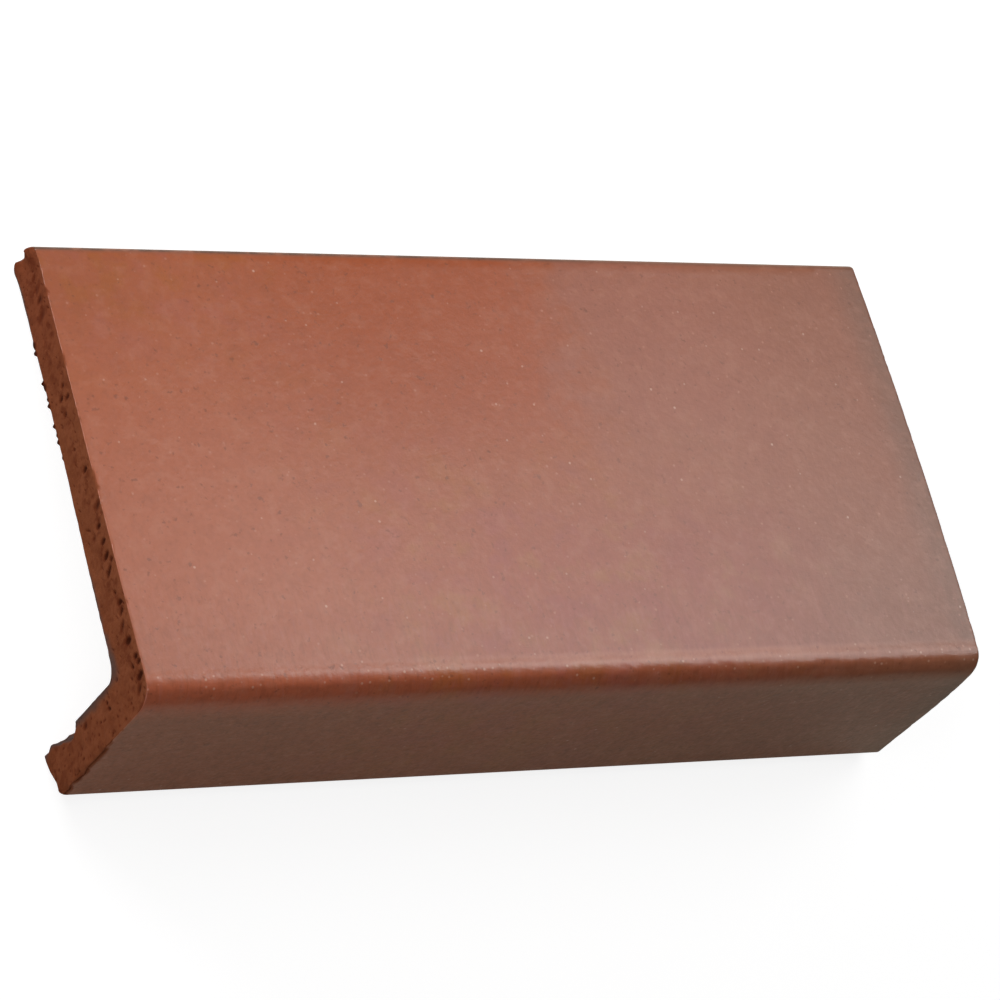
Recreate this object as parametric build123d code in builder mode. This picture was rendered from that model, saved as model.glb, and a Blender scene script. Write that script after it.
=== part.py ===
from build123d import *
from math import atan2, cos, sin
import os

# Clinker stair tread: an L section pressed through one die in plastic clay, cut to length by wire
# and fired as one piece. It is drawn as it lies unheld, with the apron's inner foot edge and the
# lower back edge on the floor. Sizes are in millimetres; X runs along the step, Y from the apron
# to the back, Z up, and the origin is the middle of the footprint on the floor.

# Driving dimensions of the section and the cut
tread_length = 240.0  # along the step, between the two cut ends
tread_depth = 118.0  # apron face to back edge
apron_height = 52.0  # walking face to the foot of the apron
wall = 12.0  # tread plate and apron alike

# Edges of the section
nose_radius = 4.5  # walking face to apron face
root_radius = 5.0  # underside to apron back
back_radius = 1.2  # walking face to back edge
foot_radius = 1.6  # apron face to foot
bearing_radius = 1.2  # the two edges that the piece rests on

# Lean of the resting piece: both bearing edges have one radius, so it is the slope between them
lean = atan2(apron_height - wall, tread_depth - wall)
across = (cos(lean), sin(lean))  # floor direction, front to back, as depth and height in the section
upward = (-sin(lean), cos(lean))  # floor normal in the same terms

# Outermost points of the leaning section, each on the arc of its edge
lowest = (
    (wall - bearing_radius) * upward[0] + (bearing_radius - apron_height) * upward[1] - bearing_radius
)
front = foot_radius * across[0] + (foot_radius - apron_height) * across[1] - foot_radius
rear = (tread_depth - back_radius) * across[0] - back_radius * across[1] + back_radius

# The section's own x is depth from the apron face and its y is height from the walking face
section_plane = Plane(
    origin=(-tread_length / 2, -(front + rear) / 2, -lowest),
    x_dir=(0, across[0], upward[0]),
    z_dir=(1, 0, 0),
)

with BuildPart() as stair_tread:
    with BuildSketch(section_plane) as section:
        with BuildLine() as outline:
            Polyline(
                (0, 0),
                (tread_depth, 0),
                (tread_depth, -wall),
                (wall, -wall),
                (wall, -apron_height),
                (0, -apron_height),
                close=True,
            )
        make_face()
        fillet(section.vertices().sort_by_distance((0, 0))[:1], radius=nose_radius)
        fillet(section.vertices().sort_by_distance((wall, -wall))[:1], radius=root_radius)
        fillet(section.vertices().sort_by_distance((tread_depth, 0))[:1], radius=back_radius)
        fillet(section.vertices().sort_by_distance((0, -apron_height))[:1], radius=foot_radius)
        fillet(section.vertices().sort_by_distance((tread_depth, -wall))[:1], radius=bearing_radius)
        fillet(section.vertices().sort_by_distance((wall, -apron_height))[:1], radius=bearing_radius)
    extrude(amount=tread_length)

os.makedirs("parts", exist_ok=True)
stair_tread.part.label = "stair_tread"
export_step(stair_tread.part, "parts/stair_tread.step")
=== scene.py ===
import math

import bpy
import numpy as np
from mathutils import Matrix


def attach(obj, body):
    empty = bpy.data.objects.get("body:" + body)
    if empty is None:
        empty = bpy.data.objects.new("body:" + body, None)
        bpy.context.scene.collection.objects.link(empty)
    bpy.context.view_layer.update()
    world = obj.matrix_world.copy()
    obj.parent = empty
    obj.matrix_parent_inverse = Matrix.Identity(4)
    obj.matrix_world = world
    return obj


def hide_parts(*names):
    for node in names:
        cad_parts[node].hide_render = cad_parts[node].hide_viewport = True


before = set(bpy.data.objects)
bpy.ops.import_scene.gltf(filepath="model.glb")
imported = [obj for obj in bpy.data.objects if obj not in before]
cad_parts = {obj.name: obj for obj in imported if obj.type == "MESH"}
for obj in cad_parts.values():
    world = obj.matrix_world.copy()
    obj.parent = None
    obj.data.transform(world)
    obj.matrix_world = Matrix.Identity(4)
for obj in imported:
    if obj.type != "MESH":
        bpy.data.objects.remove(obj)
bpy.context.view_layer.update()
scene = bpy.context.scene
scene.view_settings.view_transform = "Standard"
print("frame loaded, nodes:", sorted(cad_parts))


# Smooth random field: seeded numbers on a cubic lattice, blended between the eight corners of a
# cell with the weights f*f*(3 - 2f). Values run from 0 to 1; cell is the lattice step.
def softField(points, cell, seed):
    size = 48
    table = np.random.default_rng(seed).random((size, size, size))
    q = points / cell
    low = np.floor(q).astype(int)
    f = q - low
    f = f * f * (3.0 - 2.0 * f)
    total = np.zeros(len(points))
    for corner in np.ndindex(2, 2, 2):
        step = np.array(corner)
        weight = np.where(step == 1, f, 1.0 - f).prod(axis=1)
        at = (low + step) % size
        total += weight * table[at[:, 0], at[:, 1], at[:, 2]]
    return total


# Sum of softField at halving cells and halving heights, scaled to -1..1.
def roughField(points, cell, octaves, seed):
    heights = 0.5 ** np.arange(octaves)
    layers = [h * (softField(points, cell * h, seed + n) - 0.5) for n, h in enumerate(heights)]
    return 2.0 * np.sum(layers, axis=0) / heights.sum()


# 0 below low, 1 above high, and the cubic 3t^2 - 2t^3 between.
def ease(low, high, value):
    t = np.clip((value - low) / (high - low), 0.0, 1.0)
    return t * t * (3.0 - 2.0 * t)


# Points from a to b in equal steps, the last one left out.
def lineTo(a, b, steps):
    t = np.linspace(0.0, 1.0, steps, endpoint=False)[:, None]
    return np.array(a, float) * (1 - t) + np.array(b, float) * t


# Points on a circle between two angles in degrees, in equal steps, the last one left out.
def arcTo(centre, radius, start, end, steps):
    a = np.radians(np.linspace(start, end, steps, endpoint=False))
    return np.array(centre, float) + radius * np.stack([np.cos(a), np.sin(a)], axis=1)


# Points on the nose: a quarter of the oval (u/back)^n + (v/down)^n = 1 in equal steps of its angle,
# from the walking face to the apron face, the last one left out. A higher n is fuller.
def noseTo(back, down, n, steps):
    a = np.radians(np.linspace(0, 90, steps, endpoint=False))
    return np.stack([back * (1 - np.sin(a) ** (2 / n)), -down * (1 - np.cos(a) ** (2 / n))], axis=1)


# The tread, in millimetres: the section as depth u behind the apron face and height v over the
# walking face, and x along the step. The underside sags toward the root and the back edge bulges.
tread = {
    "length": 240.0, "depth": 118.0, "apron": 52.0, "wall": 12.0,
    "noseBack": 5.4, "noseDown": 7.6, "noseFull": 2.2, "root": 5.0,
    "backEdge": 1.2, "footEdge": 1.6, "bearing": 1.2, "sag": 1.6, "sagFrom": 68.0, "backBulge": 1.15,
    "stepsPlate": 252, "stepsBend": 20, "stepsApron": 100, "stepsEdge": 5, "stepsWall": 22,
    "endStations": [0.0, 0.3, 0.65, 1.05, 1.5, 2.0, 2.6, 3.3, 4.1, 5.0, 6.2, 7.8, 10.0, 13.0],
    "middleStep": 1.15, "keepEach": 6, "keepByNose": 9.5,
    "endSlant": 0.95, "endBow": 1.22, "bowMiddle": 60.0, "bowFrom": 30.0,
    "apronOut": 0.8, "apronOutOver": (-4.0, -26.0),
}


# The section's four sides with equal counts on facing sides: outer skin (walking face, nose,
# apron face), foot, inner skin (underside, root, apron back) and back edge. The sag grows on a
# straight slope toward the root and is used up over the root's arc; the bulge is a parabola.
def sectionSides():
    t = tread
    w, d, h = t["wall"], t["depth"], t["apron"]
    r, g, q = t["noseBack"], t["noseDown"], t["root"]
    b, f, e = t["backEdge"], t["footEdge"], t["bearing"]
    outer = np.vstack([
        lineTo((d - b, 0), (r, 0), t["stepsPlate"]),
        noseTo(r, g, t["noseFull"], t["stepsBend"]),
        lineTo((0, -g), (0, f - h), t["stepsApron"]),
        [(0, f - h)],
    ])
    foot = np.vstack([
        arcTo((f, f - h), f, 180, 270, t["stepsEdge"]),
        lineTo((f, -h), (w - e, -h), t["stepsWall"]),
        arcTo((w - e, e - h), e, 270, 360, t["stepsEdge"]),
        [(w, e - h)],
    ])
    under = lineTo((d - e, -w), (w + q, -w), t["stepsPlate"])
    under[:, 1] -= t["sag"] * np.clip((t["sagFrom"] - under[:, 0]) / (t["sagFrom"] - w - q), 0, 1)
    bend = arcTo((w + q, -w - q), q, 90, 180, t["stepsBend"])
    bend[:, 1] -= t["sag"] * (bend[:, 1] + w + q) / q
    inner = np.vstack([under, bend, lineTo((w, -w - q), (w, e - h), t["stepsApron"]), [(w, e - h)]])
    back = np.vstack([
        arcTo((d - b, -b), b, 90, 0, t["stepsEdge"]),
        lineTo((d, -b), (d, e - w), t["stepsWall"]),
        arcTo((d - e, e - w), e, 0, -90, t["stepsEdge"]),
        [(d - e, -w)],
    ])
    back[:, 0] += t["backBulge"] * (1 - (2 * back[:, 1] / w + 1) ** 2)
    return outer, foot, inner, back


# Cut face filled as a Coons patch: the mean of the two ways of blending facing sides, less the
# bilinear blend of the four corners. s runs from back edge to foot, k from outer to inner skin.
def cutPatch(outer, foot, inner, back):
    s = np.linspace(0, 1, len(outer))[:, None, None]
    k = np.linspace(0, 1, len(foot))[None, :, None]
    across = outer[:, None] * (1 - k) + inner[:, None] * k
    along = back[None] * (1 - s) + foot[None] * s
    corners = (outer[0] * (1 - s) + outer[-1] * s) * (1 - k) + (inner[0] * (1 - s) + inner[-1] * s) * k
    return across + along - corners


# Stations along x: close together at the two cut ends, even between.
def stations():
    half = tread["length"] / 2
    near = np.array(tread["endStations"]) - half
    middle = np.linspace(near[-1], -near[-1], int(-2 * near[-1] / tread["middleStep"]) + 1)[1:-1]
    return near, middle, -near[::-1]


# Tears on the cut ends, in millimetres. Each row of found is one on the left end: depth u behind the
# apron face, height v under the walking face, half width, half length, how deep, and its slant from
# the upright. The right end has as many by chance, and fine pits lie on both.
tears = {
    "found": [
        (111.6, -4.4, 0.6, 1.2, 0.35, 24), (108.8, -4.9, 0.4, 0.9, 0.35, 20),
        (105.9, -4.4, 0.7, 1.5, 0.55, 20), (102.0, -4.8, 1.0, 2.2, 0.35, 24),
        (82.6, -3.9, 0.5, 0.8, 0.7, 15), (80.2, -6.0, 0.6, 1.2, 0.8, 24),
        (79.2, -3.1, 0.5, 1.3, 0.7, 10), (75.9, -5.9, 0.45, 0.9, 0.7, 24),
        (66.8, -5.9, 0.4, 0.6, 0.7, 10), (60.2, -3.4, 0.5, 1.2, 1.1, 14),
        (50.2, -2.0, 0.9, 1.6, 0.6, 24), (45.7, -3.8, 0.5, 1.2, 1.2, 4),
        (47.2, -8.7, 0.28, 1.2, 0.5, -28), (41.6, -3.5, 0.45, 1.3, 1.2, 12),
        (38.1, -3.8, 0.55, 1.6, 1.3, 16), (36.3, -1.9, 0.45, 0.9, 0.8, 30),
        (34.4, -4.2, 0.5, 1.9, 1.0, 36), (28.9, -4.1, 0.4, 0.7, 0.8, 0),
        (25.8, -3.0, 0.55, 1.1, 1.2, 10), (23.9, -3.4, 0.5, 1.4, 0.8, 36),
        (20.7, -4.6, 0.5, 1.7, 0.7, 34), (16.5, -3.8, 0.7, 1.5, 1.4, 6),
        (11.9, -2.2, 0.5, 1.1, 1.1, 12), (10.3, -1.5, 0.5, 1.1, 1.0, 12),
        (10.4, -4.6, 0.6, 0.6, 1.1, 0), (7.2, -2.6, 0.65, 1.7, 1.5, 14),
        (8.2, -6.2, 0.4, 0.4, 0.9, 0), (4.6, -4.1, 0.6, 1.7, 0.7, 34),
        (8.7, -19.7, 0.45, 0.5, 0.9, 0), (7.1, -19.3, 0.45, 0.8, 0.9, -30),
        (11.2, -12.8, 0.4, 0.7, 0.6, 20), (6.2, -24.6, 0.35, 0.5, 0.6, 0),
        (8.8, -32.0, 0.7, 1.2, 0.5, 20), (2.6, -36.5, 0.35, 0.6, 0.6, 0),
        (1.4, -20.5, 0.4, 1.0, 0.5, 36),
    ],
    "swell": 1.4, "deepShare": 0.6, "seedLeft": 11, "seedRight": 29,
    "grain": 0.11, "grainCell": 1.6, "unevenCell": 14.0, "unevenShare": 0.8, "fadeAtArris": 0.5,
    "stray": (9.0, 0.9, 0.08, 0.2, 0.1, 12.0),  # how far the right end's tears stray in each column
    "fine": 260, "fineHalf": (0.2, 0.42), "fineDeep": (0.12, 0.4), "fineSlant": (-20, 50),
    "fineOnApron": 0.3, "fineInset": (0.4, 0.6),
}


# Depth of the torn face at the points (u, v): each tear is a slanted oval hollow, deep * (1 - r^2)^2
# with r the oval radius, and the deepest one counts.
def tornDepth(u, v, seed, found):
    rng = np.random.default_rng(seed)
    rows = np.array(tears["found"]) * np.array([1, 1, tears["swell"], tears["swell"], tears["deepShare"], 1])
    if not found:
        away = np.column_stack([rng.uniform(-1, 1, len(rows)), rng.uniform(-1, 1, (len(rows), 5))])
        rows = rows + away * np.array(tears["stray"])
    n = tears["fine"]
    low, high = tears["fineHalf"]
    wall = tread["wall"]
    inPlate, inApron = tears["fineInset"]
    onApron = rng.random(n) < tears["fineOnApron"]
    at = np.stack([rng.uniform(0, tread["depth"], n), -rng.uniform(inPlate, wall - inPlate, n)], axis=1)
    down = np.stack([
        rng.uniform(inApron, wall - inApron, n), -rng.uniform(8, tread["apron"] - 1, n),
    ], axis=1)
    pits = np.column_stack([
        np.where(onApron[:, None], down, at), rng.uniform(low, high, n), rng.uniform(low, 1.6 * high, n),
        rng.uniform(*tears["fineDeep"], n), rng.uniform(*tears["fineSlant"], n),
    ])
    cu, cv, a, b, deep, slant = np.vstack([rows, pits]).T
    turn = np.radians(slant)
    du, dv = u[:, None] - cu, v[:, None] - cv
    p = (du * np.cos(turn) - dv * np.sin(turn)) / a
    q = (du * np.sin(turn) + dv * np.cos(turn)) / b
    return (deep * np.clip(1 - p * p - q * q, 0, 1) ** 2).max(axis=1)


# Chips: round bites out of the edges, as the centre (x, u, v) of a ball and its radius.
chips = [
    {"at": (-121.6, 13.6, -40.2), "radius": 5.0},
    {"at": (-122.2, 14.6, -44.6), "radius": 4.9},
    {"at": (-122.4, 14.6, -50.6), "radius": 4.2},
    {"at": (-122.0, 120.4, -6.6), "radius": 3.0},
    {"at": (-88.3, 119.3, 0.8), "radius": 1.7},
    {"at": (121.8, 120.4, -8.4), "radius": 3.6},
    {"at": (122.0, 14.7, -30.0), "radius": 3.7},
]
chipGrain = {"share": 0.12, "cell": 2.4}  # how uneven the break is, as a share of the radius

# Crumbs of clay dragged out by the wire along the left end's lower edge: depth u, reach and height.
crumbs = [
    (97.7, 1.3, 0.30), (95.7, 0.8, 0.62), (87.7, 0.6, 0.70), (86.5, 1.2, 0.32), (83.3, 0.6, 0.30),
    (81.6, 0.7, 0.55), (76.2, 0.6, 0.50), (73.8, 0.6, 0.25), (72.0, 0.7, 0.50), (67.8, 0.6, 0.20),
]
crumbWay = (-0.75, 0.0, -0.66)  # out of the cut and down

# Burrs: corners of the left end that the wire dragged outward, as the place (u, v), how far out, and
# the reach along u and v of the bell curve exp(-(du/reach)^2 - (dv/reach)^2).
burrs = [
    {"at": (118.8, -3.0), "out": 1.1, "reach": (2.6, 2.4)},
    {"at": (118.8, -9.8), "out": 1.1, "reach": (3.0, 2.4)},
    {"at": (11.5, -52.0), "out": 1.3, "reach": (6.5, 8.0)},
]
burrFade = 3.0  # millimetres along the skin

# Lip where the wire left the clay: the lower edge is rolled round by a radius that grows toward the
# root from one depth to another, and stands out a little from the cut.
# The shade band entries give how wide a painted shade, dark grey with a painted floor reflection, lies on
# the cut face along the lip: a base width, its wander and cell, and more toward the front and the back over
# the given depths.
lip = {"plain": 0.7, "extra": 1.1, "out": 0.55, "from": 66.0, "to": 22.0, "downTo": (-34.0, -18.0),
       "reach": 1.9, "zone": 4.0, "rightShare": 0.5, "shadeBand": 0.7, "shadeBandWander": 0.5, "shadeBandCell": 4.0,
       "shadeBandFront": 1.5, "frontOver": (48.0, 20.0), "shadeBandBack": 0.9, "backOver": (98.0, 112.0)}

# Arrises of the cut ends, in millimetres: the least radius and what wander, bites and wear add to it.
cutEdge = {"least": 0.15, "wander": 0.45, "wanderCell": 3.2,
           "bite": 0.8, "biteCell": 4.5, "biteLeft": 0.75, "biteRight": 0.25,
           "noseWear": 0.6, "noseWearReach": (6.0, 5.0), "noseWearDown": 6.0,
           "footWear": 1.4, "footWearCell": 5.0, "footWearOver": (-12.0, -32.0), "footWearBack": (7.0, 3.0)}

# Pressed skin, in millimetres: how far it is set back, long waves, and dents and knocks on the nose.
pressed = {"setBack": 0.03, "wave": 0.012, "waveCell": 60.0, "noseAt": 1.4, "noseReach": 3.0,
           "dent": 0.24, "dentCell": 2.8, "knock": 0.5, "knockCell": 5.0, "knockFrom": 0.25}


# The whole skin as one closed mesh. Rings of the section stand at each station, whole at the ends
# and thinned between them to the points where the outline bends, those by the nose and each sixth
# of the rest. A patch closes each end. The points then move: cut edges are rounded by a radius that
# wanders, cut faces sink by tornDepth, the nose is dented, and chips push points out of balls.
def buildTread():
    outer, foot, inner, back = sectionSides()
    ns, nk = len(outer) - 1, len(foot) - 1
    ring = np.vstack([outer, foot[1:], inner[-2::-1], back[-2:0:-1]])
    nRing = len(ring)
    whole = np.arange(nRing)
    ahead, behind = np.roll(ring, -1, axis=0) - ring, ring - np.roll(ring, 1, axis=0)
    normal = np.stack([(ahead + behind)[:, 1], -(ahead + behind)[:, 0]], axis=1)
    normal /= np.linalg.norm(normal, axis=1)[:, None]
    girth = np.cumsum(np.linalg.norm(behind, axis=1))
    girth = np.where(whole > 2 * ns + nk, girth - girth[-1], girth)  # the seam lies under the back edge
    bends = np.abs(behind[:, 0] * ahead[:, 1] - behind[:, 1] * ahead[:, 0]) > 1e-4
    bends |= (ring[:, 0] < tread["keepByNose"]) & (ring[:, 1] > -tread["keepByNose"])
    kept = np.flatnonzero(bends | (whole % tread["keepEach"] == 0))
    isInner = (whole >= ns + nk) & (whole <= 2 * ns + nk)
    patch = cutPatch(outer, foot, inner, back)[1:-1, 1:-1].reshape(-1, 2)
    nPatch = len(patch)
    half = tread["length"] / 2

    # points as x, u, v with their outward directions
    xLeft, xMiddle, xRight = stations()
    nEnd, nMiddle = len(xLeft), len(xMiddle)
    spot = np.concatenate([np.tile(whole, nEnd), np.tile(kept, nMiddle), np.tile(whole, nEnd)])
    x = np.concatenate([np.repeat(xLeft, nRing), np.repeat(xMiddle, len(kept)), np.repeat(xRight, nRing)])
    skin = np.column_stack([x, ring[spot]])
    nSkin = len(skin)
    p = np.vstack([skin, np.column_stack([np.full(nPatch, -half), patch]),
                   np.column_stack([np.full(nPatch, half), patch])])
    out = np.vstack([np.column_stack([np.zeros(nSkin), normal[spot]]),
                     np.tile([-1.0, 0, 0], (nPatch, 1)), np.tile([1.0, 0, 0], (nPatch, 1))])
    cut = np.concatenate([np.zeros(nSkin), np.ones(2 * nPatch)])
    side = np.sign(p[:, 0])
    onRing = (half - np.abs(p[:, 0]) < 1e-6) & (cut == 0)

    # distances to the nearest cut arris, and to the one along the inner skin
    kk = np.arange(1, nk) * tread["wall"] / nk
    ss = np.minimum(np.arange(1, ns), ns - np.arange(1, ns)) * 0.5
    inset = np.minimum(ss[:, None], np.minimum(kk, tread["wall"] - kk)[None, :]).ravel()
    toInner = np.tile(tread["wall"] - kk, ns - 1)
    arris = np.concatenate([half - np.abs(x), inset, inset])
    innerArris = np.concatenate([np.where(isInner[spot], half - np.abs(x), 99.0), toInner, toInner])

    # cut edges: the radius wanders, with a bite here and there and wear by the left foot and the right
    # end of the nose, and the lip has a radius of its own
    wander = np.clip(roughField(p + 300.0, cutEdge["wanderCell"], 3, 3) * 1.6, 0, 1)
    bite = np.clip(2.0 * roughField(p + 700.0, cutEdge["biteCell"], 3, 9) - 0.15, 0, 1)
    bite = bite * np.where(side < 0, cutEdge["biteLeft"], cutEdge["biteRight"])
    du = p[:, 1] / cutEdge["noseWearReach"][0]
    dv = (p[:, 2] + cutEdge["noseWearDown"]) / cutEdge["noseWearReach"][1]
    noseWear = np.exp(-(du**2) - dv**2) * cutEdge["noseWear"]
    footWear = 0.8 + 1.2 * roughField(p + 150.0, cutEdge["footWearCell"], 2, 13)
    footWear = np.clip(footWear * ease(*cutEdge["footWearOver"], p[:, 2]), 0, None)
    footWear = cutEdge["footWear"] * footWear * ease(*cutEdge["footWearBack"], p[:, 1])
    worn = np.where(side > 0, noseWear, footWear)
    roll = ease(lip["from"], lip["to"], p[:, 1]) * ease(*lip["downTo"], p[:, 2])
    roll = np.where(side < 0, roll, roll * lip["rightShare"])
    low = innerArris < lip["zone"]
    radius = cutEdge["least"] + cutEdge["wander"] * wander**2 + cutEdge["bite"] * bite + worn
    radius = np.where(low, lip["plain"] + lip["extra"] * roll, radius)
    gone = np.clip(radius - arris, 0, None)
    drop = radius - np.sqrt(np.clip(radius**2 - gone**2, 0, None))
    drop = np.where(onRing, 0.293 * radius, drop)  # 1 - cos 45, at the arris itself
    move = -out * drop[:, None]
    move[:, 0] -= np.where(onRing, side * drop, 0.0)
    move[:, 0] += side * lip["out"] * roll * np.exp(-((innerArris / lip["reach"]) ** 2))

    # cut faces: torn hollows and grain, fading out at the arris
    torn = np.zeros(len(p))
    torn[nSkin:nSkin + nPatch] = tornDepth(patch[:, 0], patch[:, 1], tears["seedLeft"], True)
    torn[nSkin + nPatch:] = tornDepth(patch[:, 0], patch[:, 1], tears["seedRight"], False)
    grain = roughField(p + 90.0, tears["grainCell"], 3, 17)
    grain = grain + tears["unevenShare"] * roughField(p + 50.0, tears["unevenCell"], 2, 23)
    face = cut * ease(0.0, tears["fadeAtArris"], arris)
    move[:, 0] -= side * face * (torn + tears["grain"] * (1 + grain))

    # pressed skin: long shallow waves, and small dents along the nose
    wave = pressed["wave"] * roughField(p, pressed["waveCell"], 1, 5)
    toNose = (p[:, 1] - pressed["noseAt"]) ** 2 + (p[:, 2] + pressed["noseAt"]) ** 2
    onNose = (1 - cut) * np.exp(-toNose / pressed["noseReach"] ** 2)
    dent = pressed["dent"] * roughField(p, pressed["dentCell"], 2, 31)
    knock = roughField(p + 70.0, pressed["knockCell"], 3, 37) - pressed["knockFrom"]
    dent = dent + pressed["knock"] * np.clip(knock, 0, 1)
    move += out * ((1 - cut) * (wave - pressed["setBack"]) - onNose * dent)[:, None]

    # crumbs: small lumps on the lower edge, pushed out and down
    lump = np.zeros(len(p))
    for u, reach, high in crumbs:
        gap = np.linalg.norm(p - np.array([-half, u, -tread["wall"]]), axis=1) / reach
        lump = np.maximum(lump, high * np.clip(1 - gap * gap, 0, 1))
    move += lump[:, None] * np.array(crumbWay)
    # the crumbs are marked as torn so that they take the dark hollow colour, a painted shade
    torn = np.maximum(torn, 2.0 * lump)

    # burrs, which fade along the skin
    for burr in burrs:
        du, dv = (p[:, 1] - burr["at"][0]) / burr["reach"][0], (p[:, 2] - burr["at"][1]) / burr["reach"][1]
        move[:, 0] -= burr["out"] * np.exp(-du * du - dv * dv) * ease(burrFade, 0.0, half + p[:, 0])

    # the right end's cut runs in a shallow bow, slant * z - bow * z^2 with z from -1 at the front to 1,
    # and comes back out down the apron
    z = p[:, 1] / tread["bowMiddle"] - 1.0
    bow = tread["endSlant"] * z - tread["endBow"] * z * z
    bow = bow + tread["apronOut"] * ease(*tread["apronOutOver"], p[:, 2])
    move[:, 0] += bow * ease(tread["bowFrom"], half, p[:, 0])
    flat = p
    p = p + move

    # chips: a point inside a ball goes out to its surface, and a rough field keeps the break uneven
    broken = ease(0.04, 0.15, lump)
    uneven = roughField(p + 500.0, chipGrain["cell"], 3, 41)
    for chip in chips:
        gap = p - np.array(chip["at"])
        reach = np.linalg.norm(gap, axis=1)
        push = np.clip(chip["radius"] * (1 + chipGrain["share"] * uneven) - reach, 0, None)
        p = p + gap / reach[:, None] * push[:, None]
        broken = np.maximum(broken, ease(0.05, 0.4, push))

    # faces: rings of one size joined, the seams where a whole ring meets a thinned one, the patches
    def tube(first, count, size):
        a = np.arange(size)
        b = np.roll(a, -1)
        j = first + np.arange(count - 1)[:, None] * size
        return np.stack([j + a, j + b, j + size + b, j + size + a], axis=-1).reshape(-1, 4).tolist()

    def seam(fine, thin, flip):
        made = []
        for n, run in enumerate(np.split(whole, kept[1:])):
            after = (n + 1) % len(kept)
            loop = [*(fine + run).tolist(), int(fine + kept[after]), thin + after, thin + n]
            made.append(loop[::-1] if flip else loop)
        return made

    def quads(g):
        return np.stack([g[:-1, :-1], g[1:, :-1], g[1:, 1:], g[:-1, 1:]], axis=-1).reshape(-1, 4)

    toMiddle, toRight = nEnd * nRing, nEnd * nRing + nMiddle * len(kept)
    grid = np.zeros((ns + 1, nk + 1), int)
    grid[:, 0] = np.arange(ns + 1)
    grid[-1, :] = ns + np.arange(nk + 1)
    grid[:, -1] = ns + nk + ns - np.arange(ns + 1)
    grid[0, 1:] = 2 * (ns + nk) - np.arange(1, nk + 1)
    left, right = grid.copy(), grid + toRight + (nEnd - 1) * nRing
    left[1:-1, 1:-1] = nSkin + np.arange(nPatch).reshape(ns - 1, nk - 1)
    right[1:-1, 1:-1] = nSkin + nPatch + np.arange(nPatch).reshape(ns - 1, nk - 1)
    faces = tube(0, nEnd, nRing) + seam(toMiddle - nRing, toMiddle, False)
    faces += tube(toMiddle, nMiddle, len(kept)) + seam(toRight, toRight - len(kept), True)
    faces += tube(toRight, nEnd, nRing) + quads(left)[:, ::-1].tolist() + quads(right).tolist()

    # how far the lip's painted shade, dark grey with a painted floor reflection, covers the cut face, and
    # how far the cut's colour comes round a bitten arris
    wide = lip["shadeBand"] + lip["shadeBandFront"] * ease(*lip["frontOver"], flat[:, 1])
    wide = wide + lip["shadeBandBack"] * ease(*lip["backOver"], flat[:, 1])
    wide = wide * (1 + lip["shadeBandWander"] * roughField(flat, lip["shadeBandCell"], 2, 51))
    rolled = ease(1.5, 0.5, innerArris / wide)
    bitten = np.maximum(ease(0.15, 0.4, bite), ease(0.4, 0.9, worn) * (side < 0))
    bitten = bitten * ease(1.2, 0.75, arris / radius)
    bitten = np.where(low | (cut > 0), 0.0, bitten)
    return p, faces, {
        "cutFace": np.where(onRing, 0.5, cut), "torn": torn, "broken": np.maximum(broken, bitten),
        "depth": flat[:, 1], "level": flat[:, 2], "lip": rolled, "fromRight": half - flat[:, 0],
        "inner": np.concatenate([isInner[spot] * 1.0, np.zeros(2 * nPatch)]),
        "girth": np.concatenate([girth[spot], np.zeros(2 * nPatch)]),
    }


# From the section to the row frame in metres: the piece leans by the slope between its two bearing
# edges, so Y = u cos + v sin and Z = v cos - u sin, moved to put the footprint's middle at zero.
def leanDown(p):
    t = tread
    lean = math.atan2(t["apron"] - t["wall"], t["depth"] - t["wall"])
    c, s = math.cos(lean), math.sin(lean)
    e, f, b = t["bearing"], t["footEdge"], t["backEdge"]
    lowest = -(t["wall"] - e) * s + (e - t["apron"]) * c - e
    front = f * c + (f - t["apron"]) * s - f
    rear = (t["depth"] - b) * c - b * s + b
    y = p[:, 1] * c + p[:, 2] * s - (front + rear) / 2
    z = p[:, 2] * c - p[:, 1] * s - lowest
    return np.stack([p[:, 0], y, z], axis=1) / 1000.0


# A smooth mesh object from points and faces, with a number on each point for each attribute.
def meshPiece(name, points, faces, attributes):
    mesh = bpy.data.meshes.new(name)
    mesh.from_pydata(points, [], faces)
    for label, values in attributes.items():
        layer = mesh.attributes.new(label, "FLOAT", "POINT")
        layer.data.foreach_set("value", values.astype(np.float32))
    mesh.polygons.foreach_set("use_smooth", np.ones(len(mesh.polygons), bool))
    mesh.update()
    piece = bpy.data.objects.new(name, mesh)
    scene.collection.objects.link(piece)
    return piece


points, faces, marks = buildTread()
treadPiece = meshPiece("treadBody", leanDown(points), faces, marks)
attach(treadPiece, "root")
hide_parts("stair_tread")
print("tread built:", len(points), "points,", sum(len(face) - 2 for face in faces), "triangles")


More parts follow.
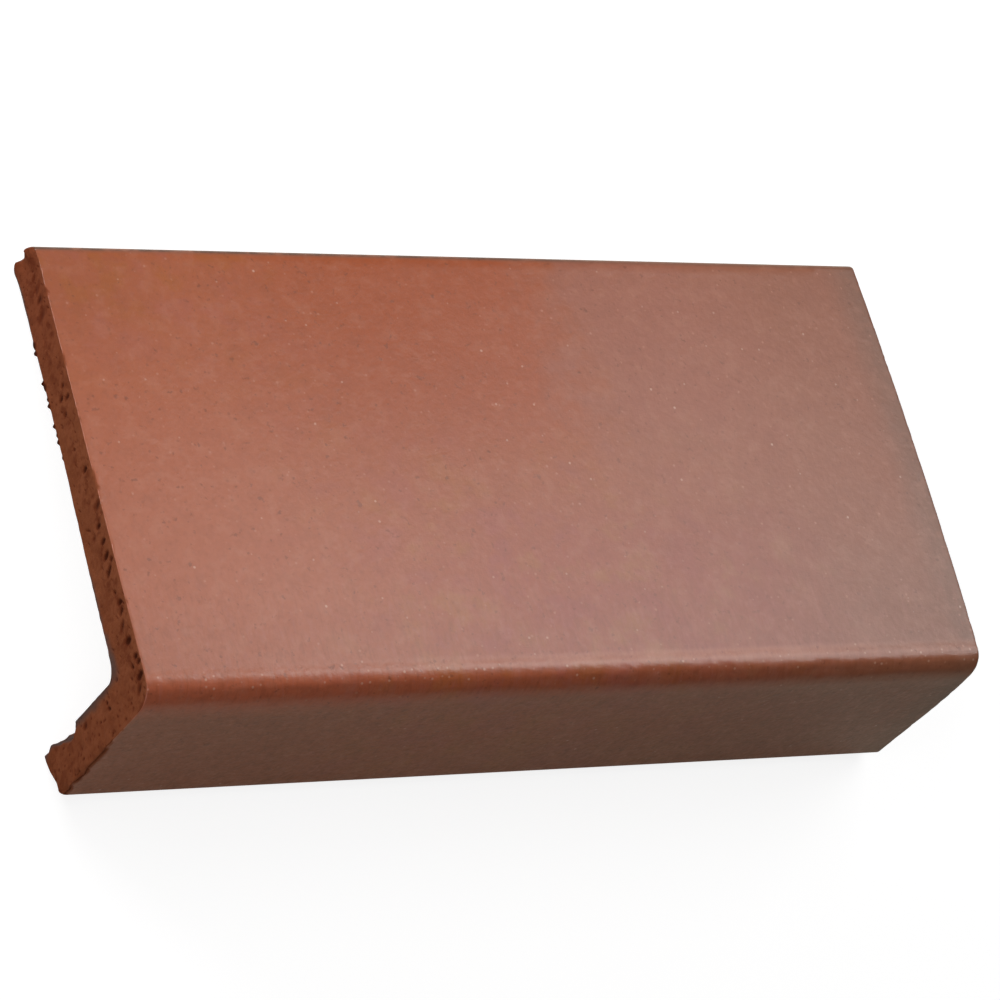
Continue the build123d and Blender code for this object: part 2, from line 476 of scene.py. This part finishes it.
# One output socket of a node tree. Sums and products of these add Math nodes.
class Flow:
    def __init__(self, tree, socket=None):
        self.tree = tree
        self.socket = socket

    # Any node: its type, its settings, then values or links for its inputs, by name or number.
    def node(self, kind, settings, inputs, output=0):
        made = self.tree.nodes.new(kind)
        for name, value in settings.items():
            setattr(made, name, value)
        for name, value in inputs.items():
            if isinstance(value, Flow):
                self.tree.links.new(value.socket, made.inputs[name])
            else:
                made.inputs[name].default_value = value
        return Flow(self.tree, made.outputs[output] if made.outputs else None)

    # one Math node on two numbers or sockets
    def maths(self, operation, a, b=0.0):
        return self.node("ShaderNodeMath", {"operation": operation}, {0: a, 1: b})

    def __add__(self, other):
        return self.maths("ADD", self, other)

    def __sub__(self, other):
        return self.maths("SUBTRACT", self, other)

    def __mul__(self, other):
        return self.maths("MULTIPLY", self, other)

    def __truediv__(self, other):
        return self.maths("DIVIDE", self, other)

    def __rsub__(self, other):
        return self.maths("SUBTRACT", other, self)

    __radd__ = __add__
    __rmul__ = __mul__

    # 0 below low, 1 above high, eased between
    def step(self, low, high):
        settings = {"interpolation_type": "SMOOTHSTEP"}
        return self.node("ShaderNodeMapRange", settings, {"Value": self, "From Min": low, "From Max": high})

    # this colour times a fixed one
    def tint(self, gain):
        return self.node("ShaderNodeVectorMath", {"operation": "MULTIPLY"}, {0: self, 1: gain})

    # this factor between two colours
    def blend(self, first, second):
        return self.node(
            "ShaderNodeMix", {"data_type": "RGBA"}, {"Factor": self, 6: first, 7: second}, output=2
        )


# Fired clinker. Colours are linear, gains multiply a colour, and roughness runs from 0 to 1.
clinker = {
    # walking face and apron
    "body": (0.368, 0.104, 0.045, 1), "rosy": (0.362, 0.104, 0.060, 1), "ochre": (0.362, 0.110, 0.034, 1),
    "nearEnd": (0.400, 0.115, 0.054, 1), "farEnd": (0.282, 0.094, 0.048, 1),
    "greyEnd": (0.210, 0.088, 0.050, 1), "flash": (0.348, 0.078, 0.024, 1), "ash": (0.325, 0.106, 0.062, 1),
    # painted shade along the back top edge: a grey line and a darker band
    "backEdgeShade": (0.20, 0.100, 0.070, 1), "backEdgeDarkShade": (0.080, 0.040, 0.028, 1),
    "mortarSide": (0.26, 0.105, 0.070, 1), "noseFar": (0.31, 0.125, 0.062, 1),
    # the pale ridge colour is a painted highlight behind the nose
    "scuff": (0.40, 0.132, 0.094, 1), "noseRidgeHighlight": (0.45, 0.185, 0.120, 1),
    "noseGain": (1.15, 1.0, 1.0), "blushGain": (0.97, 0.86, 0.97),
    "apronGain": (0.91, 0.85, 0.76), "apronWarm": (1.06, 1.0, 1.0),
    # specks
    "whiteSpeck": (0.70, 0.46, 0.36, 1), "paleSpeck": (0.47, 0.20, 0.13, 1),
    "darkSpeck": (0.15, 0.045, 0.022, 1),
    # cut ends
    "cut": (0.200, 0.053, 0.020, 1), "cutLight": (0.240, 0.068, 0.028, 1),
    # the darkest cut colour is painted shade for the torn hollows and the crumbs
    "cutRed": (0.125, 0.024, 0.007, 1), "cutHollowShade": (0.055, 0.009, 0.002, 1),
    # the lip colour is painted shade, dark grey with a painted floor reflection
    "lip": (0.085, 0.056, 0.051, 1), "cutBackGain": (0.99, 0.89, 0.89),
    "skinRough": 0.33, "mortarRough": 0.62, "cutRough": 0.9, "cutSheen": 0.12,
    "skinBump": 0.45, "skinBumpHigh": 0.00012, "cutBump": 0.7, "cutBumpHigh": 0.0003,
    # grain of the noises, in metres
    "patchGrain": 0.011, "cloudGrain": 0.0052, "gritGrain": 0.0010, "crustGrain": 0.0022,
    "fleckGrain": 0.0017, "mottleGrain": 0.006, "rubbleGrain": 0.0012,
}

# Specks of the skin: cells and radius in millimetres, the share of cells that hold one, how strong they
# are, and whether they lie on the brow of the nose only.
speckKinds = [
    {"colour": "darkSpeck", "cell": 2.6, "share": 0.20, "radius": 0.60, "strength": 0.32, "brow": False},
    {"colour": "paleSpeck", "cell": 2.1, "share": 0.10, "radius": 0.52, "strength": 0.55, "brow": False},
    {"colour": "whiteSpeck", "cell": 5.3, "share": 0.13, "radius": 0.50, "strength": 0.50, "brow": False},
    {"colour": "whiteSpeck", "cell": 2.4, "share": 0.45, "radius": 0.48, "strength": 0.50, "brow": True},
]


# The clinker material: a skin and a cut shader, mixed by how far a point is cut or broken. Each colour is
# laid over the ones before it by a factor made of eased steps along the piece and noise. Places along
# the step are in metres; depth, level, girth and the distance from the right end are in millimetres.
def clinkerMaterial():
    made = bpy.data.materials.new("firedClinker")
    made.use_nodes = True
    tree = made.node_tree
    tree.nodes.clear()
    start = Flow(tree)
    place = start.node("ShaderNodeTexCoord", {}, {}, output="Object")
    along = start.node("ShaderNodeSeparateXYZ", {}, {"Vector": place}, output="X")

    # a number that the mesh carries on its points
    def mark(name):
        return start.node("ShaderNodeAttribute", {"attribute_name": name}, {}, output="Fac")

    depth, level, girth = mark("depth"), mark("level"), mark("girth")
    torn, inner, fromRight = mark("torn"), mark("inner"), mark("fromRight")
    raw = mark("cutFace").step(0.3, 0.8) + mark("broken")
    raw = raw.maths("MINIMUM", raw, 1.0)

    # a flat map of the skin in cells of so many millimetres, unrolled round the section
    def sheet(alongGrain, acrossGrain):
        flat = {"X": along * (1000 / alongGrain), "Y": girth / acrossGrain}
        return start.node("ShaderNodeCombineXYZ", {}, flat)

    # noise with a grain of so many metres
    def noise(grain, detail=3.0, rough=0.55, at=place, twist=0.0):
        return start.node("ShaderNodeTexNoise", {}, {
            "Vector": at, "Scale": 1 / grain, "Detail": detail, "Roughness": rough, "Distortion": twist,
        })

    # round specks: cells of so many millimetres, of which the given share hold one; most are faint
    def specks(cell, share, radius):
        kind, flow = {"voronoi_dimensions": "2D"}, {"Vector": sheet(cell, cell), "Scale": 1.0}
        far = start.node("ShaderNodeTexVoronoi", kind, flow, output="Distance")
        pick = start.node("ShaderNodeTexVoronoi", kind, flow, output="Color")
        chance = start.node("ShaderNodeSeparateColor", {}, {"Color": pick}, output="Red")
        size = start.node("ShaderNodeSeparateColor", {}, {"Color": pick}, output="Green")
        edge = radius / cell * (0.5 + 0.5 * size)
        there = (1 - (far / edge).step(0.3, 1.0)) * chance.maths("LESS_THAN", chance, share)
        return there * (0.25 + 0.75 * size * size)

    # hue of the fired skin: patches, a warm near end, a dull far end, the flash of the fire at the back
    # and ash beyond it, a grey band at the right, and painted shade along the right end's edge, darkest by
    # the nose
    patches = noise(clinker["patchGrain"], 3.0, 0.6)
    cloud = noise(clinker["cloudGrain"], 2.0, 0.5)
    grit = noise(clinker["gritGrain"], 2.0, 0.6)
    crust = noise(clinker["crustGrain"], 3.0, 0.6)
    skin = patches.step(0.52, 0.66).blend(clinker["body"], clinker["rosy"])
    skin = patches.step(0.48, 0.34).blend(skin, clinker["ochre"])
    skin = (along.step(-0.02, -0.10) * depth.step(108.0, 70.0)).blend(skin, clinker["nearEnd"])
    skin = along.step(-0.06, 0.13).blend(skin, clinker["farEnd"])
    inFire = (along + 0.05 * (patches - 0.5)).step(0.036, 0.004)
    atBack = depth.step(40.0, 85.0)
    skin = (inFire * atBack * (0.3 + 0.7 * along.step(-0.09, -0.03))).blend(skin, clinker["flash"])
    skin = (along.step(-0.08, -0.12) * depth.step(80.0, 112.0) * 0.14).blend(skin, clinker["darkSpeck"])
    skin = ((1 - inFire) * atBack * along.step(0.10, 0.05) * 0.8).blend(skin, clinker["ash"])
    skin = (fromRight.step(13.0, 1.0) * 0.9).blend(skin, clinker["greyEnd"])
    # painted shade: a dark line along the right end's edge, stronger by the nose
    rightEdgeShade = fromRight.step(1.3, 0.5) * (0.3 + 0.4 * depth.step(4.0, 1.0))
    skin = rightEdgeShade.blend(skin, clinker["darkSpeck"])

    # back edge with painted shade: a grey line along it and darker patches toward the left, and the faces
    # that the mortar holds
    skin = (depth.step(116.2, 117.4) * 0.7).blend(skin, clinker["backEdgeShade"])
    backEdgeDarkShade = depth.step(116.9, 117.4) * level.step(-2.2, -0.7)
    backEdgeDarkShade = backEdgeDarkShade * along.step(0.05, 0.0) * cloud.step(0.38, 0.56)
    skin = (backEdgeDarkShade * 0.7).blend(skin, clinker["backEdgeDarkShade"])
    skin = (inner * 0.8).blend(skin, clinker["mortarSide"])

    # nose and front: a redder nose, a rosy blush behind it, brushed strokes and a pale strip behind the nose
    # that is a painted highlight
    noseTip = depth.step(6.0, 2.0) * level.step(-11.0, -5.0)
    skin = noseTip.blend(skin, skin.tint(clinker["noseGain"]))
    blush = along.step(-0.07, 0.0) * along.step(0.10, 0.05) * depth.step(60.0, 30.0) * depth.step(3.0, 8.0)
    skin = (blush * patches.step(0.30, 0.50)).blend(skin, skin.tint(clinker["blushGain"]))
    front = depth.step(48.0, 5.0)
    brushed = noise(1.0, 3.0, 0.6, at=sheet(1.3, 5.2), twist=0.6)
    # painted highlight: a pale streaked strip 5 to 8 mm behind the nose, weak toward the left end
    noseRidgeHighlight = depth.step(8.6, 6.8) * depth.step(4.2, 5.4) * (0.4 + 0.9 * brushed)
    noseRidgeHighlight = noseRidgeHighlight * (0.1 + 0.9 * along.step(-0.10, 0.0))
    skin = (brushed.step(0.51, 0.66) * front * 0.32).blend(skin, clinker["scuff"])
    skin = (depth.step(26.0, 12.0) * depth.step(4.0, 8.0) * 0.08).blend(skin, clinker["darkSpeck"])
    skin = (brushed.step(0.49, 0.34) * front * 0.20).blend(skin, clinker["darkSpeck"])
    skin = (noseRidgeHighlight * 0.60).blend(skin, clinker["noseRidgeHighlight"])

    # darker and greyer on the right of the front and on the left of the apron, and on the apron's upper part
    # a redder tint from the middle rightward and a darker one toward the right
    onApron = level.step(-8.0, -14.0)
    greyedOver = along.step(0.05, 0.11) * depth.step(60.0, 15.0) * depth.step(3.0, 7.0) * 0.45
    greyedOver = greyedOver + along.step(-0.02, -0.09) * onApron * 0.25
    skin = greyedOver.blend(skin, clinker["greyEnd"])
    skin = (level.step(-26.0, -46.0) * along.step(-0.08, 0.0) * 0.22).blend(skin, clinker["paleSpeck"])
    highApron = onApron * level.step(-42.0, -24.0)
    skin = (along.step(0.03, 0.11) * highApron).blend(skin, skin.tint(clinker["apronGain"]))
    skin = (along.step(-0.08, 0.0) * highApron).blend(skin, skin.tint(clinker["apronWarm"]))
    skin = (noseTip * along.step(0.03, 0.11) * 0.5).blend(skin, clinker["noseFar"])

    # grain, coarser on the apron, flecks and specks
    coarse = 1 + 1.7 * level.step(-4.0, -12.0)
    skin = (cloud.step(0.52, 0.68) * 0.08).blend(skin, clinker["darkSpeck"])
    skin = (cloud.step(0.48, 0.32) * 0.13).blend(skin, clinker["paleSpeck"])
    skin = (grit.step(0.42, 0.75) * coarse * 0.11).blend(skin, clinker["darkSpeck"])
    skin = (crust.step(0.52, 0.72) * coarse * 0.10).blend(skin, clinker["darkSpeck"])
    skin = (crust.step(0.48, 0.28) * coarse * 0.12).blend(skin, clinker["paleSpeck"])
    flecks = noise(clinker["fleckGrain"], 2.0, 0.6).step(0.63, 0.74)
    skin = (flecks * 0.50).blend(skin, clinker["darkSpeck"])
    brow = depth.step(7.4, 5.4) * level.step(-2.2, -0.6)
    for kind in speckKinds:
        there = specks(kind["cell"], kind["share"], kind["radius"]) * kind["strength"]
        there = there * brow if kind["brow"] else there
        skin = there.blend(skin, clinker[kind["colour"]])

    # cut ends: lighter under the walking face, red smears that are thickest in a band and at the foot,
    # torn hollows and crumbs darkened by painted shade inside a red border, and dark grey painted shade with
    # a painted floor reflection along the lip
    mottle = noise(clinker["mottleGrain"], 4.0, 0.65).step(0.32, 0.68)
    across, upright = depth * 0.9 - level * 0.43, depth * 0.43 + level * 0.9
    drag = {"X": across / 2.2, "Y": upright / 3.2, "Z": along * 40}
    slanted = start.node("ShaderNodeCombineXYZ", {}, drag)
    band = level.step(-9.0, -6.0) * (1 - level.step(-2.4, -1.0))
    smear = noise(1.0, 3.0, 0.55, at=slanted, twist=0.4).step(0.46, 0.66)
    cut = mottle.blend(clinker["cut"], clinker["cutLight"])
    cut = (level.step(-3.0, -1.0) * 0.7).blend(cut, clinker["cutLight"])
    cut = (smear * (0.30 + 0.5 * band)).blend(cut, clinker["cutRed"])
    cut = (grit.step(0.5, 0.72) * 0.30).blend(cut, clinker["cutRed"])
    cut = (level.step(-24.0, -44.0) * (0.1 + 0.35 * smear)).blend(cut, clinker["cutRed"])
    cut = (torn.step(0.0, 0.10) * 0.75).blend(cut, clinker["cutRed"])
    cut = depth.step(70.0, 105.0).blend(cut, cut.tint(clinker["cutBackGain"]))
    # painted shade and floor reflection along the rolled lip
    cut = (mark("lip") * 0.9).blend(cut, clinker["lip"])
    # painted shade: the deeper torn hollows and the crumbs darkened
    cut = torn.step(0.08, 0.36).blend(cut, clinker["cutHollowShade"])

    # gloss and fine relief
    polish = clinker["skinRough"] + 0.08 * (patches - 0.5) + 0.10 * (grit - 0.5)
    polish = polish + inner * (clinker["mortarRough"] - clinker["skinRough"])
    height = (noise(0.0014, 3.0, 0.6) + 0.6 * crust) * (0.7 * coarse + 0.1) + 0.35 * noise(0.006, 2.0, 0.5)
    height = height + brow * 2.0 * noise(1.0, 2.0, 0.5, at=sheet(2.2, 2.2))
    bump = start.node("ShaderNodeBump", {}, {
        "Strength": clinker["skinBump"], "Distance": clinker["skinBumpHigh"], "Height": height,
    })
    rubble = noise(clinker["rubbleGrain"], 4.0, 0.6)
    crumble = start.node("ShaderNodeBump", {}, {
        "Strength": clinker["cutBump"], "Distance": clinker["cutBumpHigh"], "Height": rubble,
    })

    fired = start.node("ShaderNodeBsdfPrincipled", {}, {
        "Base Color": skin, "Roughness": polish, "Normal": bump, "IOR": 1.5,
    })
    rough = start.node("ShaderNodeBsdfPrincipled", {}, {
        "Base Color": cut, "Roughness": clinker["cutRough"], "Normal": crumble, "IOR": 1.5,
        "Specular IOR Level": clinker["cutSheen"],
    })
    both = start.node("ShaderNodeMixShader", {}, {0: raw, 1: fired, 2: rough})
    start.node("ShaderNodeOutputMaterial", {}, {"Surface": both})
    return made


treadPiece.data.materials.append(clinkerMaterial())
print("clinker fired")


# Floor: pale, white to the camera where the light falls, and it keeps the shadow.
stageSet = {
    "floorSize": 8.0, "floorBounce": (0.64, 0.64, 0.54, 1), "floorSeen": 0.34, "floorGlow": 0.84,
    "ambient": 0.03,
}


def buildFloor():
    half = stageSet["floorSize"] / 2
    corners = np.array([(-half, -half, 0), (half, -half, 0), (half, half, 0), (-half, half, 0)])
    floor = meshPiece("floor", corners, [[0, 1, 2, 3]], {})
    made = bpy.data.materials.new("paleFloor")
    made.use_nodes = True
    tree = made.node_tree
    tree.nodes.clear()
    start = Flow(tree)
    seen = start.node("ShaderNodeLightPath", {}, {}, output="Is Camera Ray")
    bounce, shown, glow = stageSet["floorBounce"], stageSet["floorSeen"], stageSet["floorGlow"]
    matte = start.node("ShaderNodeBsdfDiffuse", {}, {"Color": bounce})
    plain = start.node("ShaderNodeBsdfDiffuse", {}, {"Color": (shown, shown, shown, 1)})
    white = start.node("ShaderNodeEmission", {}, {"Color": (1, 1, 1, 1), "Strength": glow})
    shownSum = start.node("ShaderNodeAddShader", {}, {0: plain, 1: white})
    mixed = start.node("ShaderNodeMixShader", {}, {0: seen, 1: matte, 2: shownSum})
    start.node("ShaderNodeOutputMaterial", {}, {"Surface": mixed})
    floor.data.materials.append(made)


# World: white to the camera, a low even fill for everything else.
def buildWorld():
    world = bpy.data.worlds.new("studio")
    scene.world = world
    world.use_nodes = True
    tree = world.node_tree
    tree.nodes.clear()
    start = Flow(tree)
    seen = start.node("ShaderNodeLightPath", {}, {}, output="Is Camera Ray")
    strength = seen * (1 - stageSet["ambient"]) + stageSet["ambient"]
    sky = start.node("ShaderNodeBackground", {}, {"Color": (1, 1, 1, 1), "Strength": strength})
    start.node("ShaderNodeOutputWorld", {}, {"Surface": sky})


# Soft boxes: each looks at the tread from its place, with its size in metres and its power in watts.
lightAim = (0, 0, 0.025)  # the middle of the tread
softBoxes = {
    "backLeft": {"at": (-0.30, 0.50, 0.30), "size": (0.5, 0.12), "power": 2.48},
    "left": {"at": (-0.50, 0.10, 0.50), "size": (0.5, 0.12), "power": 1.0},
    "front": {"at": (-0.874, -0.874, 0.402), "size": (0.45, 0.45), "power": 2.9},
    "right": {"at": (0.75, 0.50, 0.60), "size": (0.5, 0.12), "power": 1.57},
    "over": {"at": (0.33, 0.22, 0.45), "size": (0.5, 0.12), "power": 1.18},
}


def buildLights():
    for name, box in softBoxes.items():
        lamp = bpy.data.lights.new(name, "AREA")
        lamp.shape = "RECTANGLE"
        lamp.size, lamp.size_y = box["size"]
        lamp.energy = box["power"]
        holder = bpy.data.objects.new(name, lamp)
        scene.collection.objects.link(holder)
        back = np.array(box["at"], float) - np.array(lightAim)
        back /= np.linalg.norm(back)
        side = np.cross([0, 0, 1.0], back)
        side /= np.linalg.norm(side)
        holder.matrix_world = faceTo(side, np.cross(back, side), back, box["at"])


# A placing matrix from the object's own x, y and z directions and its place.
def faceTo(right, up, back, at):
    m = np.eye(4)
    m[:3, 0], m[:3, 1], m[:3, 2], m[:3, 3] = right, up, back, at
    return Matrix(m.tolist())


# Camera: its place in metres and the directions of the picture's right and up in the row frame;
# the picture is 1000 pixels wide and the lens is given in those pixels.
view = {"at": (-0.569407, -0.108576, 0.896636), "right": (0.841557, -0.079397, 0.534301),
        "up": (0.010073, 0.991273, 0.131437), "lensPixels": 4280.39, "pixels": 1000.0, "sensor": 36.0}


def buildCamera():
    lens = bpy.data.cameras.new("camera")
    lens.sensor_width = view["sensor"]
    lens.lens = view["lensPixels"] * view["sensor"] / view["pixels"]
    lens.clip_start, lens.clip_end = 0.05, 50.0
    camera = bpy.data.objects.new("camera", lens)
    scene.collection.objects.link(camera)
    right = np.array(view["right"]) / np.linalg.norm(view["right"])
    up = np.array(view["up"]) - right * np.dot(view["up"], right)
    up /= np.linalg.norm(up)
    camera.matrix_world = faceTo(right, up, np.cross(right, up), view["at"])
    scene.camera = camera


buildFloor()
buildWorld()
buildLights()
buildCamera()
print("stage, lights and camera placed")
